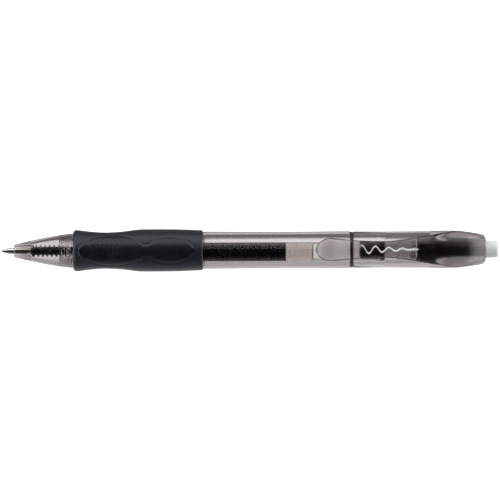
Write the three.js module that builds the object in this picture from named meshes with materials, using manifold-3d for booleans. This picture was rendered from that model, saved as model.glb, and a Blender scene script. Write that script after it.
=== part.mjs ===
// A retractable gel pen, in millimetres. The pen's axis lies along X: writing point at -X, push button at +X,
// pocket clip up (+Z). The origin is under the middle of the pen, where the fattest part of the grip touches
// the ground. The point is out and the click mechanism is latched.
import * as THREE from 'three';
import { mergeVertices } from 'three/addons/utils/BufferGeometryUtils.js';
import Module from 'manifold-3d';

const wasm = await Module();
wasm.setup();

// ---- driving dimensions ----
const LENGTH = 145;
const POINT_X = -LENGTH / 2;
const BUTTON_X = LENGTH / 2;
const GRIP_HUMP_R = 6.335;
const AXIS_Z = GRIP_HUMP_R; // height of the pen's axis above the ground
const FIT = 0.05; // gap between pieces pushed together
const RUN = 0.12; // gap between pieces that slide or turn
const SEGMENTS = 36; // facets around a turned piece

// places along the pen
const NOSE_MOUTH_X = -68.7;
const SPRING_SEAT_X = -63.6;
const THREAD_FRONT_X = -55.1;
const GRIP_FRONT_X = -51.4;
const GRIP_REAR_X = -13.66;
const BARREL_REAR_X = 29.2;
const CAP_FRONT_X = 30.1;
const SPIGOT_REAR_X = 39.3;
const SLEEVE_REAR_X = 52.7; // step in the cap's bore that stops the cam sleeve
const CLIP_CUT_X = 53.65; // the clip flexes where it leaves the cap
const BUTTON_STEP_X = 57;
const PLUNGER_REAR_X = 62.4; // stays inside the cap while the button is out
const CAP_REAR_X = 68.6;

// radii
const BORE_R = 3.65;
const FRONT_BORE_R = 3.1;
const GRIP_SEAT_R = 4.45;
const SPIGOT_R = 4.5;
const CAP_R = 5.3;
const CAP_BORE_R = 4.1;
const BUTTON_R = 2.625;
const TUBE_R = 2.8;
const TUBE_BORE_R = 2.35;
const HOLDER_R = 1.2;
const SHANK_R = 1.0;

// screw thread of the nose cone
const PITCH = 0.8;
const THREAD_CORE_R = 3.55;
const THREAD_DEPTH = 0.28;
const THREAD_TURNS = 4;

// click mechanism
const CAM_LOBES = 4;
const LOBE_ANGLE = THREE.MathUtils.degToRad(14);
const LATCH_TURN = THREE.MathUtils.degToRad(45); // the rotor turns this far while the refill moves one stroke
const STROKE = 6;
const LATCH_SLOPE = (STROKE / LATCH_TURN) * 1.06; // length per radian of the slanted latch faces
const SLEEVE_BORE_R = 3.35;
const LATCH_X = 46.6; // where the ribs begin

// ---- helpers ----

// A solid turned about X from a profile of [x, r] points that closes on itself or ends on the axis.
function turned(profile, segments = SEGMENTS) {
  const points = profile.map(([x, r]) => new THREE.Vector2(r, x));
  const closed = profile[0][1] > 0;
  if (closed) points.push(points[0].clone());
  const area = points.reduce((sum, p, i) => sum + p.cross(points[(i + 1) % points.length]), 0);
  if (area < 0) points.reverse();
  return new THREE.LatheGeometry(points, segments).rotateZ(-Math.PI / 2);
}

// A solid swept around X: at each step, an angle and a closed loop of [x, r] points, all with the same count.
function swept(steps) {
  const count = steps[0].loop.length;
  const positions = [];
  for (const { angle, loop } of steps) {
    for (const [x, r] of loop) positions.push(x, r * Math.cos(angle), r * Math.sin(angle));
  }
  const indices = [];
  for (let s = 0; s + 1 < steps.length; s += 1) {
    for (let i = 0; i < count; i += 1) {
      const a = s * count + i;
      const b = s * count + ((i + 1) % count);
      indices.push(a, a + count, b, b, a + count, b + count);
    }
  }
  const last = (steps.length - 1) * count;
  for (let i = 1; i + 1 < count; i += 1) {
    indices.push(0, i, i + 1);
    indices.push(last, last + i + 1, last + i);
  }
  return indexed(positions, indices);
}

function indexed(positions, indices) {
  const geometry = new THREE.BufferGeometry();
  geometry.setAttribute('position', new THREE.Float32BufferAttribute(positions, 3));
  geometry.setIndex(indices);
  return geometry;
}

function volume(geometry) {
  const p = geometry.attributes.position;
  const index = geometry.index.array;
  const [a, b, c] = [new THREE.Vector3(), new THREE.Vector3(), new THREE.Vector3()];
  let sum = 0;
  for (let i = 0; i < index.length; i += 3) {
    a.fromBufferAttribute(p, index[i]);
    b.fromBufferAttribute(p, index[i + 1]);
    c.fromBufferAttribute(p, index[i + 2]);
    sum += a.dot(b.cross(c));
  }
  return sum / 6;
}

// A welded mesh as a manifold solid, turned the right way out.
function solid(geometry) {
  const plain = geometry.clone();
  plain.deleteAttribute('normal');
  plain.deleteAttribute('uv');
  const welded = mergeVertices(plain, 1e-4);
  const raw = welded.index.array;
  const kept = [];
  for (let i = 0; i < raw.length; i += 3) {
    const [a, b, c] = [raw[i], raw[i + 1], raw[i + 2]];
    if (a !== b && b !== c && c !== a) kept.push(a, b, c);
  }
  welded.setIndex(kept);
  if (volume(welded) < 0) {
    for (let i = 0; i < kept.length; i += 3) [kept[i], kept[i + 1]] = [kept[i + 1], kept[i]];
  }
  return new wasm.Manifold(
    new wasm.Mesh({
      numProp: 3,
      vertProperties: new Float32Array(welded.attributes.position.array),
      triVerts: new Uint32Array(kept),
    }),
  );
}

function geometryOf(manifold) {
  const mesh = manifold.getMesh();
  return indexed(mesh.vertProperties, [...mesh.triVerts]);
}

function union(pieces) {
  return pieces.reduce((all, piece) => all.add(piece));
}

// Points of a smooth curve through the given [x, r] points.
function smooth(through, divisions) {
  const curve = new THREE.SplineCurve(through.map(([x, r]) => new THREE.Vector2(x, r)));
  return curve.getPoints(divisions).map((p) => [p.x, p.y]);
}

// Value at x of the smooth curve through the given [x, value] points.
function along(through, x) {
  const fine = smooth(through, 80);
  const after = Math.max(1, fine.findIndex((p) => p[0] >= x));
  const [[x0, v0], [x1, v1]] = [fine[after - 1], fine[after]];
  return v0 + ((v1 - v0) * (x - x0)) / (x1 - x0);
}

// Rounded corner: a quarter of an ellipse from one [x, r] point to another, bulging towards a third.
function corner(from, to, towards, divisions = 4) {
  const curve = new THREE.QuadraticBezierCurve(
    new THREE.Vector2(...from),
    new THREE.Vector2(...towards),
    new THREE.Vector2(...to),
  );
  return curve.getPoints(divisions).map((p) => [p.x, p.y]);
}

// A ridge wound on a screw thread, or the wider groove that it runs in.
function threadRidge(startX, turns, coreR, depth, baseHalf, topHalf) {
  const perTurn = 20;
  const steps = [];
  for (let i = 0; i <= turns * perTurn; i += 1) {
    const angle = (i / perTurn) * 2 * Math.PI;
    const x = startX + (i / perTurn) * PITCH;
    const loop = [
      [x - baseHalf, coreR - 0.1],
      [x + baseHalf, coreR - 0.1],
      [x + topHalf, coreR + depth],
      [x - topHalf, coreR + depth],
    ];
    steps.push({ angle, loop });
  }
  return solid(swept(steps));
}

// A block between two radii and two angles, whose front and rear faces may slant with the angle.
function lobe(r0, r1, middle, width, frontX, rearX) {
  const steps = [];
  const divisions = 2;
  for (let i = 0; i <= divisions; i += 1) {
    const offset = (i / divisions - 0.5) * width;
    const front = frontX(offset);
    const rear = rearX(offset);
    const loop = [[front, r0], [rear, r0], [rear, r1], [front, r1]];
    steps.push({ angle: middle + offset, loop });
  }
  return solid(swept(steps));
}

function aroundAxis(count, make) {
  return union(Array.from({ length: count }, (_, i) => make((i / count) * 2 * Math.PI)));
}

// ---- outer pieces ----

const THREAD_START_X = THREAD_FRONT_X + 0.3;

function barrel() {
  const waist = smooth([[-13.1, 5.44], [0, 5.37], [11.8, 5.32], [BARREL_REAR_X - 0.4, 5.42]], 10);
  const shoulderX = GRIP_REAR_X + 0.2;
  const body = turned([
    [THREAD_FRONT_X, THREAD_CORE_R - 0.2],
    [THREAD_FRONT_X + 0.2, THREAD_CORE_R],
    [GRIP_FRONT_X, THREAD_CORE_R],
    [GRIP_FRONT_X, GRIP_SEAT_R],
    [shoulderX, GRIP_SEAT_R],
    [shoulderX, 5.2],
    ...waist,
    [BARREL_REAR_X, 5.2],
    [BARREL_REAR_X, SPIGOT_R],
    [SPIGOT_REAR_X, SPIGOT_R],
    [SPIGOT_REAR_X, BORE_R],
    [-12.5, BORE_R],
    [-14.5, FRONT_BORE_R],
    [THREAD_FRONT_X, FRONT_BORE_R],
  ]);
  const ridge = threadRidge(THREAD_START_X, THREAD_TURNS, THREAD_CORE_R, THREAD_DEPTH, 0.24, 0.08);
  return geometryOf(solid(body).add(ridge));
}

// Ring held between the barrel's shoulder and the cap.
function jointRing() {
  const frontX = BARREL_REAR_X + FIT;
  const rearX = CAP_FRONT_X - FIT;
  const boreR = SPIGOT_R + FIT;
  const outerR = CAP_R - 0.05;
  const bevel = 0.15;
  return turned([
    [frontX, boreR],
    [frontX, outerR - bevel],
    [frontX + bevel, outerR],
    [rearX - bevel, outerR],
    [rearX, outerR - bevel],
    [rearX, boreR],
  ]);
}

const NOSE_REAR_X = GRIP_FRONT_X - 0.1;

function noseCone() {
  const minorR = THREAD_CORE_R + 0.1;
  const body = turned([
    [NOSE_MOUTH_X, 1.3],
    ...corner([NOSE_MOUTH_X, 1.45], [-67.5, 2.12], [NOSE_MOUTH_X, 2.05]),
    ...corner([-67.4, 2.14], [NOSE_REAR_X, 5.05], [-58.5, 4.45], 8),
    [NOSE_REAR_X, minorR],
    [THREAD_FRONT_X - 0.2, minorR],
    [THREAD_FRONT_X - 0.4, 3.5],
    [SPRING_SEAT_X, 2.0],
    [SPRING_SEAT_X, 1.35],
    [NOSE_MOUTH_X + 0.5, 1.3],
  ]);
  const groove = threadRidge(
    THREAD_START_X - PITCH,
    THREAD_TURNS + 3,
    THREAD_CORE_R,
    THREAD_DEPTH + 0.12,
    0.33,
    0.17,
  );
  return geometryOf(solid(body).subtract(groove));
}

// Finger pads: six fine grooves across the waist of the grip, on the clip side and on the far side.
const PAD_GROOVES = 6;
const PAD_GROOVE_STEP = 1.37;
const PAD_GROOVE_X = -45.5;

function gripOutline() {
  return smooth(
    [
      [-50.1, 6.1],
      [-46.5, 5.6],
      [-42.2, 5.34],
      [-37.5, 5.55],
      [-32.6, 6.2],
      [-29, GRIP_HUMP_R],
      [-21, 6.23],
      [GRIP_REAR_X - 0.8, 5.92],
    ],
    18,
  );
}

function rubberGrip() {
  const boreR = GRIP_SEAT_R + FIT;
  const sleeve = solid(
    turned([
      [GRIP_FRONT_X, boreR],
      ...corner([GRIP_FRONT_X, 5.2], [-50.15, 6.1], [GRIP_FRONT_X, 6.05]),
      ...gripOutline().slice(1),
      [GRIP_REAR_X, 5.5],
      [GRIP_REAR_X, boreR],
    ]),
  );
  let grip = sleeve;
  for (let i = 0; i < PAD_GROOVES; i += 1) {
    const x = PAD_GROOVE_X + i * PAD_GROOVE_STEP;
    const surface = along(gripOutline(), x);
    for (const side of [-1, 1]) {
      const cutter = new THREE.BoxGeometry(0.4, 3.4, 1).translate(x, 0, side * (surface - 0.28 + 0.5));
      grip = grip.subtract(solid(cutter));
    }
  }
  return geometryOf(grip);
}

// ---- clip and cap ----

const CLIP_TIP_X = 19.2;
const TONGUE_X = 23.7; // the tongue's widest place
const TONGUE_HALF = 3.38;

function clipHalfWidth(x) {
  if (x < TONGUE_X) {
    const far = (TONGUE_X - x) / (TONGUE_X - CLIP_TIP_X);
    return TONGUE_HALF * Math.sqrt(Math.max(0, 1 - far * far));
  }
  return along(
    [
      [TONGUE_X, TONGUE_HALF],
      [28.5, 2.9],
      [34, 2.5],
      [41, 2.5],
      [48, 3.4],
      [57.5, 5.05],
      [61, 5.25],
      [65, 4.5],
      [CAP_REAR_X, 3.3],
    ],
    x,
  );
}

function clipTop(x) {
  return along(
    [
      [CLIP_TIP_X - 0.1, 7.3],
      [TONGUE_X, 7.9],
      [40, 8.3],
      [52, 8.25],
      [58, 7.75],
      [63, 6.7],
      [CAP_REAR_X, 4.6],
    ],
    x,
  );
}

// The underside dips to a bump near the tip, which grips the pocket's cloth.
function clipUnder(x) {
  const bumpX = 23.2;
  const bumpHalf = 3.2;
  const near = Math.abs(x - bumpX) / bumpHalf;
  return near < 1 ? 6.65 - 0.42 * (1 + Math.cos(Math.PI * near)) : 6.65;
}

// A slab with a crowned top and rounded edges, lofted along X.
function clipSlab(stations, under) {
  const around = 20;
  const positions = [];
  for (const x of stations) {
    const half = Math.max(clipHalfWidth(x), 0.05);
    const top = clipTop(x);
    const low = under(x);
    const edge = low + (top - low) * 0.5;
    for (let i = 0; i < around; i += 1) {
      const angle = ((i + 0.5) / around) * 2 * Math.PI;
      const lift = Math.sin(angle);
      const z = lift > 0 ? edge + (top - edge) * lift ** 0.8 : edge - (edge - low) * (-lift) ** 0.35;
      positions.push(x, half * Math.cos(angle), z);
    }
  }
  const indices = [];
  for (let s = 0; s + 1 < stations.length; s += 1) {
    for (let i = 0; i < around; i += 1) {
      const a = s * around + i;
      const b = s * around + ((i + 1) % around);
      indices.push(a, a + around, b, b, a + around, b + around);
    }
  }
  const last = (stations.length - 1) * around;
  for (let i = 1; i + 1 < around; i += 1) {
    indices.push(0, i, i + 1);
    indices.push(last, last + i + 1, last + i);
  }
  return solid(indexed(positions, indices));
}

function evenly(from, to, count) {
  return Array.from({ length: count + 1 }, (_, i) => from + ((to - from) * i) / count);
}

const CLIP_GAP = 0.3;
const CAP_BEVEL = 0.25;

function pocketClip() {
  const tip = [0.02, 0.25, 0.7, 1.5, 2.7].map((d) => CLIP_TIP_X + d);
  const stations = [...tip, ...evenly(TONGUE_X, CLIP_CUT_X - CLIP_GAP / 2, 16)];
  return geometryOf(clipSlab(stations, clipUnder));
}

function rearCap() {
  const outside = solid(
    turned([
      [CAP_FRONT_X, 0],
      [CAP_FRONT_X, CAP_R - CAP_BEVEL],
      [CAP_FRONT_X + CAP_BEVEL, CAP_R],
      [39.8, CAP_R],
      [54, 5.46],
      [58.4, 5.46],
      ...smooth([[60.7, 5.4], [63.1, 5.15], [66.6, 4.62]], 4),
      ...corner([67.1, 4.5], [CAP_REAR_X, 3.5], [CAP_REAR_X, 4.25], 3),
      [CAP_REAR_X, 0],
    ]),
  );
  const rootFloor = () => 2;
  const root = clipSlab(evenly(CLIP_CUT_X + CLIP_GAP / 2, CAP_REAR_X, 12), rootFloor);
  const hollow = solid(
    turned([
      [CAP_FRONT_X - 1, 0],
      [CAP_FRONT_X - 1, SPIGOT_R + FIT],
      [SPIGOT_REAR_X + 0.3, SPIGOT_R + FIT],
      [SPIGOT_REAR_X + 0.3, CAP_BORE_R],
      [SLEEVE_REAR_X, CAP_BORE_R],
      [SLEEVE_REAR_X, SLEEVE_BORE_R],
      [BUTTON_STEP_X, SLEEVE_BORE_R],
      [BUTTON_STEP_X, BUTTON_R + RUN],
      [CAP_REAR_X + 1, BUTTON_R + RUN],
      [CAP_REAR_X + 1, 0],
    ]),
  );
  return geometryOf(outside.add(root).subtract(hollow));
}

// ---- click mechanism ----

const RIB_INNER_R = BUTTON_R + RUN;

// Ribs inside a plain sleeve: the rotor's fins stand on their slanted ends while the point is out.
function camSleeve() {
  const outerR = CAP_BORE_R - FIT;
  const tube = solid(
    turned([
      [SPIGOT_REAR_X + 0.4, SLEEVE_BORE_R],
      [SPIGOT_REAR_X + 0.4, outerR],
      [SLEEVE_REAR_X - FIT, outerR],
      [SLEEVE_REAR_X - FIT, SLEEVE_BORE_R],
    ]),
  );
  const front = (offset) => LATCH_X + (offset + LOBE_ANGLE / 2) * LATCH_SLOPE;
  const rear = () => SLEEVE_REAR_X - FIT;
  const ribs = aroundAxis(CAM_LOBES, (middle) =>
    lobe(RIB_INNER_R, SLEEVE_BORE_R + 0.3, middle, LOBE_ANGLE, front, rear));
  return geometryOf(tube.add(ribs));
}

const CROWN_TEETH = 8;
const CROWN_DEPTH = 0.8;
const CROWN_X = 48.6; // plane between the rotor's crown and the button's
const ROTOR_CORE_R = 2.2;
const FIN_R = SLEEVE_BORE_R - RUN - 0.03;

// Saw teeth around a ring. They point along `side` and end at the crown plane.
function crown(side) {
  const step = (2 * Math.PI) / CROWN_TEETH;
  const tipX = CROWN_X + side * 0.15;
  const baseX = tipX + side * CROWN_DEPTH;
  return aroundAxis(CROWN_TEETH, (middle) => {
    const face = (offset) => tipX + side * CROWN_DEPTH * 0.8 * (0.5 - offset / step);
    const back = () => baseX + side * 0.2;
    return side > 0
      ? lobe(1.2, ROTOR_CORE_R, middle, step, face, back)
      : lobe(1.2, ROTOR_CORE_R, middle, step, back, face);
  });
}

function camRotor() {
  const core = solid(
    turned([
      [SPIGOT_REAR_X + FIT, 0],
      [SPIGOT_REAR_X + FIT, 1.8],
      [SPIGOT_REAR_X + 0.5, ROTOR_CORE_R],
      [CROWN_X - 0.15 - CROWN_DEPTH, ROTOR_CORE_R],
      [CROWN_X - 0.15 - CROWN_DEPTH, 0],
    ]),
  );
  const gap = 0.2;
  const rear = (offset) => LATCH_X - gap + (offset + LOBE_ANGLE / 2) * LATCH_SLOPE;
  const fins = aroundAxis(CAM_LOBES, (middle) =>
    lobe(ROTOR_CORE_R - 0.2, FIN_R, middle, LOBE_ANGLE, () => LATCH_X - 3.5, rear));
  return geometryOf(union([core, crown(-1), fins]));
}

const GUIDE_REAR_X = BUTTON_STEP_X - STROKE - 0.2;
const SPIGOT_LENGTH = 3;
const PLUNGER_SPIGOT_R = 1.6;

// The button's pale end is pressed onto the plunger's spigot.
function plunger() {
  const stemX = CROWN_X + 0.15 + CROWN_DEPTH;
  const stem = solid(
    turned([
      [stemX, 0],
      [stemX, ROTOR_CORE_R],
      [GUIDE_REAR_X - 0.4, ROTOR_CORE_R],
      [GUIDE_REAR_X, BUTTON_R],
      [PLUNGER_REAR_X, BUTTON_R],
      [PLUNGER_REAR_X, PLUNGER_SPIGOT_R],
      [PLUNGER_REAR_X + SPIGOT_LENGTH, PLUNGER_SPIGOT_R],
      [PLUNGER_REAR_X + SPIGOT_LENGTH, 0],
    ]),
  );
  const halfGroove = Math.PI / CAM_LOBES;
  const fins = aroundAxis(CAM_LOBES, (middle) =>
    lobe(
      ROTOR_CORE_R - 0.4,
      FIN_R,
      middle + halfGroove,
      LOBE_ANGLE * 2.4,
      () => stemX + 0.1,
      () => GUIDE_REAR_X,
    ));
  return geometryOf(union([stem, crown(1), fins]));
}

function pushButton() {
  const frontX = PLUNGER_REAR_X + FIT;
  const socketX = PLUNGER_REAR_X + SPIGOT_LENGTH + FIT;
  const rimX = BUTTON_X - 0.6;
  return turned([
    [socketX, 0],
    [socketX, PLUNGER_SPIGOT_R + FIT],
    [frontX, PLUNGER_SPIGOT_R + FIT],
    [frontX, BUTTON_R],
    [BUTTON_X - 3.5, BUTTON_R],
    ...corner([rimX, BUTTON_R - 0.06], [BUTTON_X, BUTTON_R - 0.6], [BUTTON_X, BUTTON_R - 0.08]),
    [BUTTON_X, 0],
  ]);
}

// ---- return spring ----

const WIRE_R = 0.175;
const SPRING_R = 1.78 - WIRE_R; // middle of the wire
const SPRING_REAR_X = -48.7;

function returnSpring() {
  const perTurn = 14;
  const closedTurns = 1.6;
  const openTurns = 10;
  const closedPitch = 2 * WIRE_R + 0.07;
  const startX = SPRING_SEAT_X + WIRE_R + FIT;
  const endX = SPRING_REAR_X - WIRE_R;
  const openPitch = (endX - startX - 2 * closedTurns * closedPitch) / openTurns;
  const turns = openTurns + 2 * closedTurns;
  const steps = [];
  for (let i = 0; i <= turns * perTurn; i += 1) {
    const t = i / perTurn;
    const closed = Math.min(t, closedTurns) + Math.max(0, t - closedTurns - openTurns);
    const open = Math.min(Math.max(t - closedTurns, 0), openTurns);
    const x = startX + closed * closedPitch + open * openPitch;
    const loop = Array.from({ length: 5 }, (_, k) => {
      const a = (k / 5) * 2 * Math.PI;
      return [x + WIRE_R * Math.cos(a), SPRING_R + WIRE_R * Math.sin(a)];
    });
    steps.push({ angle: t * 2 * Math.PI, loop });
  }
  return geometryOf(solid(swept(steps)));
}

// ---- refill ----

const BALL_R = 0.35;
const HOLDER_FRONT_X = SPRING_SEAT_X;
const SHOULDER_X = SPRING_REAR_X + 0.1;
const TUBE_FRONT_X = -46.5;
const TUBE_REAR_X = 38;
const PLUG_FRONT_X = -41.5;
const INK_REAR_X = 10.45;
const GREASE_REAR_X = 18.5;
const VALVE_X = -58.6;
const VALVE_R = 0.55;

function writingBall() {
  return new THREE.SphereGeometry(BALL_R, 12, 8).translate(POINT_X + BALL_R, 0, 0);
}

// The lip stops short of the ball's front, and the channel behind the socket feeds it.
function pointCone() {
  const lipX = POINT_X + 0.2;
  const socketR = BALL_R + 0.03;
  return turned([
    [lipX, BALL_R - 0.01],
    [lipX, 0.42],
    [lipX + 0.5, 0.5],
    [-69.9, SHANK_R],
    [-64.6, SHANK_R],
    [-64.6, 0.8],
    [-61.2, 0.8],
    [-61.2, 0.4],
    [-71, 0.2],
    [POINT_X + 2 * BALL_R + 0.12, 0.2],
    [POINT_X + 2 * BALL_R - 0.02, socketR],
    [lipX + 0.08, socketR],
  ], 24);
}

function pointHolder() {
  return turned([
    [HOLDER_FRONT_X, 0.8 + FIT],
    [HOLDER_FRONT_X, HOLDER_R - 0.15],
    [HOLDER_FRONT_X + 0.3, HOLDER_R],
    [SHOULDER_X, HOLDER_R],
    [SHOULDER_X, 2.5],
    [SHOULDER_X + 0.4, TUBE_R],
    [TUBE_FRONT_X - FIT, TUBE_R],
    [TUBE_FRONT_X - FIT, TUBE_BORE_R - FIT],
    [PLUG_FRONT_X - 0.5, TUBE_BORE_R - FIT],
    [PLUG_FRONT_X, TUBE_BORE_R - 0.3],
    [PLUG_FRONT_X, 1.3],
    [-46, 0.5],
    [VALVE_X + 1.6, 0.5],
    [VALVE_X + 1.3, 0.75],
    [VALVE_X - 0.8, 0.75],
    [VALVE_X - 1.2, 0.4],
    [-61.1, 0.4],
    [-61.1, 0.8 + FIT],
  ], 24);
}

function valveBall() {
  return new THREE.SphereGeometry(VALVE_R, 12, 8).translate(VALVE_X, 0, 0);
}

function inkTube() {
  return turned([
    [TUBE_FRONT_X, TUBE_BORE_R],
    [TUBE_FRONT_X, TUBE_R],
    [TUBE_REAR_X, TUBE_R],
    [TUBE_REAR_X, TUBE_BORE_R],
  ], 32);
}

// Ink fills the tube behind the holder, and ends in a hollow meniscus that the grease fills.
const LIQUID_R = TUBE_BORE_R - FIT;
const MENISCUS = 0.5;

function liquid(frontX, rearX, frontDome) {
  const flat = [[frontX, 0], [frontX, LIQUID_R]];
  const dome = corner([frontX - MENISCUS, 0], [frontX, LIQUID_R], [frontX - MENISCUS, LIQUID_R * 0.7]);
  const front = frontDome ? dome : flat;
  const rear = corner([rearX, LIQUID_R], [rearX - MENISCUS, 0], [rearX - MENISCUS, LIQUID_R * 0.7]);
  return turned([...front, ...rear], 24);
}

function gelInk() {
  return liquid(PLUG_FRONT_X + FIT, INK_REAR_X, false);
}

function greaseFollower() {
  return liquid(INK_REAR_X + FIT, GREASE_REAR_X, true);
}

function tailPlug() {
  const frontX = 32.5;
  return turned([
    [frontX, 0.6],
    [frontX, TUBE_BORE_R - 0.25],
    [frontX + 0.6, TUBE_BORE_R - FIT],
    [TUBE_REAR_X + FIT, TUBE_BORE_R - FIT],
    [TUBE_REAR_X + FIT, TUBE_R],
    [SPIGOT_REAR_X - 0.3, TUBE_R],
    [SPIGOT_REAR_X, TUBE_R - 0.3],
    [SPIGOT_REAR_X, 0.6],
  ], 24);
}

// ---- assembly ----

const SMOKE = { color: '#a89ea2', roughness: 0.15, metalness: 0 };
const BLACK = { color: '#141516', roughness: 0.5, metalness: 0 };
const STEEL = { color: '#c9cbcd', roughness: 0.25, metalness: 1 };

const pieces = [
  ['barrel', barrel(), SMOKE],
  ['rubber_grip', rubberGrip(), { color: '#26282a', roughness: 0.8, metalness: 0 }],
  ['nose_cone', noseCone(), SMOKE],
  ['rear_cap', rearCap(), SMOKE],
  ['pocket_clip', pocketClip(), SMOKE],
  ['joint_ring', jointRing(), BLACK],
  ['cam_sleeve', camSleeve(), SMOKE],
  ['plunger', plunger(), BLACK],
  ['push_button', pushButton(), { color: '#d3d6d6', roughness: 0.4, metalness: 0 }],
  ['cam_rotor', camRotor(), { color: '#6d676b', roughness: 0.3, metalness: 0 }],
  ['return_spring', returnSpring(), STEEL],
  ['ink_tube', inkTube(), { color: '#e6e3e0', roughness: 0.2, metalness: 0 }],
  ['gel_ink', gelInk(), { color: '#07080b', roughness: 0.3, metalness: 0 }],
  ['grease_follower', greaseFollower(), { color: '#c3b6a8', roughness: 0.3, metalness: 0 }],
  ['tail_plug', tailPlug(), BLACK],
  ['point_holder', pointHolder(), BLACK],
  ['point_cone', pointCone(), { color: '#b9b4a6', roughness: 0.25, metalness: 1 }],
  ['writing_ball', writingBall(), STEEL],
  ['valve_ball', valveBall(), STEEL],
];

const pen = new THREE.Group();
pen.name = 'gel_pen';
for (const [name, geometry, look] of pieces) {
  const mesh = new THREE.Mesh(geometry, new THREE.MeshStandardMaterial(look));
  mesh.name = name;
  mesh.position.z = AXIS_Z;
  pen.add(mesh);
}

export default pen;
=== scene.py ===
import math

import bmesh
import bpy
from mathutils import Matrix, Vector


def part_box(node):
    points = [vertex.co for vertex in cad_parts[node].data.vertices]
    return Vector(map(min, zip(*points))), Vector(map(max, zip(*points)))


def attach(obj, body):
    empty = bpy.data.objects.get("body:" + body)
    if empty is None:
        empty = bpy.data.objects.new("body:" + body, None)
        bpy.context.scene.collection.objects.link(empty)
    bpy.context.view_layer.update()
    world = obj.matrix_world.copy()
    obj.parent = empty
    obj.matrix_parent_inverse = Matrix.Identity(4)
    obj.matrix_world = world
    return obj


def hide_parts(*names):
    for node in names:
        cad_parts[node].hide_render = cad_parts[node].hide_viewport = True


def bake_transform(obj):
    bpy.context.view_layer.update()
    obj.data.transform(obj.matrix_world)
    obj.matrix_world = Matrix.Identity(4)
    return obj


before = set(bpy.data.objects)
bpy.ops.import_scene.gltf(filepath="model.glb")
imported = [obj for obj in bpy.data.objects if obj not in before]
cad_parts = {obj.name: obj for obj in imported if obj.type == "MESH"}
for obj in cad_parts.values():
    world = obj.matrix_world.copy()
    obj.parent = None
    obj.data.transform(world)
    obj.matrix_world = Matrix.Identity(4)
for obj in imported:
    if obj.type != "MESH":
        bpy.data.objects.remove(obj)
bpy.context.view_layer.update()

# Lengths below are in millimetres, x along the pen from the middle of its length, y across and z up from
# its axis, until a mesh is made.
MM = 0.001


def box_mm(node):
    """A CAD node's lowest and highest x, and its largest radius, in millimetres."""
    low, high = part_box(node)
    return low[0] / MM, high[0] / MM, (high[1] - low[1]) / 2 / MM


def axis_height():
    low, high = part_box("push_button")
    return (low[2] + high[2]) / 2


AXIS_Z = axis_height()
BARREL_FRONT, SPIGOT_REAR, _ = box_mm("barrel")
NOSE_FRONT, NOSE_REAR, NOSE_R = box_mm("nose_cone")
GRIP_FRONT, GRIP_REAR, HUMP_R = box_mm("rubber_grip")
CAP_FRONT, CAP_REAR, CAP_R = box_mm("rear_cap")
CLIP_TIP, CLIP_ROOT, _ = box_mm("pocket_clip")
_, SLEEVE_REAR, SLEEVE_R = box_mm("cam_sleeve")
BUTTON_FRONT, BUTTON_REAR, BUTTON_R = box_mm("push_button")
_, PLUNGER_REAR, _ = box_mm("plunger")
RING_FRONT, RING_REAR, RING_R = box_mm("joint_ring")
ROTOR_FRONT, _, _ = box_mm("cam_rotor")
SPRING_FRONT, SPRING_REAR, SPRING_R = box_mm("return_spring")
TUBE_FRONT, TUBE_REAR, TUBE_R = box_mm("ink_tube")
INK_FRONT, INK_REAR, _ = box_mm("gel_ink")
_, GREASE_REAR, _ = box_mm("grease_follower")
PLUG_FRONT, PLUG_REAR, _ = box_mm("tail_plug")
HOLDER_FRONT, HOLDER_REAR, _ = box_mm("point_holder")
POINT_FRONT, POINT_REAR, POINT_R = box_mm("point_cone")

BARREL_REAR = CAP_FRONT - 0.9  # the joint ring fills this step
BORE_R = 3.65
FRONT_BORE_R = 3.1
BORE_TAPER = (-14.5, -12.5)  # where the bore narrows towards the front
GRIP_SEAT_R = 4.45
SPIGOT_R = 4.5  # the barrel's rear end, which the cap fits over
THREAD_CORE_R = 3.55
THREAD_PITCH = 0.8
THREAD_DEPTH = 0.28
BUTTON_HOLE_DEPTH = 11.6
BUTTON_STEP = CAP_REAR - BUTTON_HOLE_DEPTH
SLEEVE_BORE_R = 3.35
PLUNGER_SPIGOT_R = 1.6
TUBE_BORE_R = 2.35
HOLDER_R = 1.2
PLAY = 0.05  # room around a piece that sits in another
FINE = 128  # facets around a piece that shows its outline


# ---- mesh helpers ----


def make_object(name, points, faces, crease=35):
    mesh = bpy.data.meshes.new(name)
    mesh.from_pydata([(x * MM, y * MM, z * MM + AXIS_Z) for x, y, z in points], [], faces)
    face_outwards(mesh)
    piece = bpy.data.objects.new(name, mesh)
    bpy.context.collection.objects.link(piece)
    soften(piece, crease)
    return piece


def face_outwards(mesh, weld=0.0):
    """Turns a closed mesh's faces outwards, after merging points closer than weld."""
    work = bmesh.new()
    work.from_mesh(mesh)
    if weld:
        bmesh.ops.remove_doubles(work, verts=work.verts, dist=weld)
        bmesh.ops.dissolve_degenerate(work, edges=work.edges, dist=weld / 10)
    if work.calc_volume(signed=True) < 0:
        bmesh.ops.reverse_faces(work, faces=work.faces)
    work.to_mesh(mesh)
    work.free()


def soften(piece, crease):
    """Smooth shading, but for edges sharper than crease in degrees."""
    piece.data.shade_smooth()
    piece.data.set_sharp_from_angle(angle=math.radians(crease))


def ring_faces(rows, count, closed_rows):
    """Quads between rows of points, each row a closed ring of count points."""
    faces = []
    last_row = rows if closed_rows else rows - 1
    for r in range(last_row):
        for i in range(count):
            a, b = r * count, ((r + 1) % rows) * count
            j = (i + 1) % count
            faces.append((a + i, b + i, b + j, a + j))
    return faces


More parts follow.
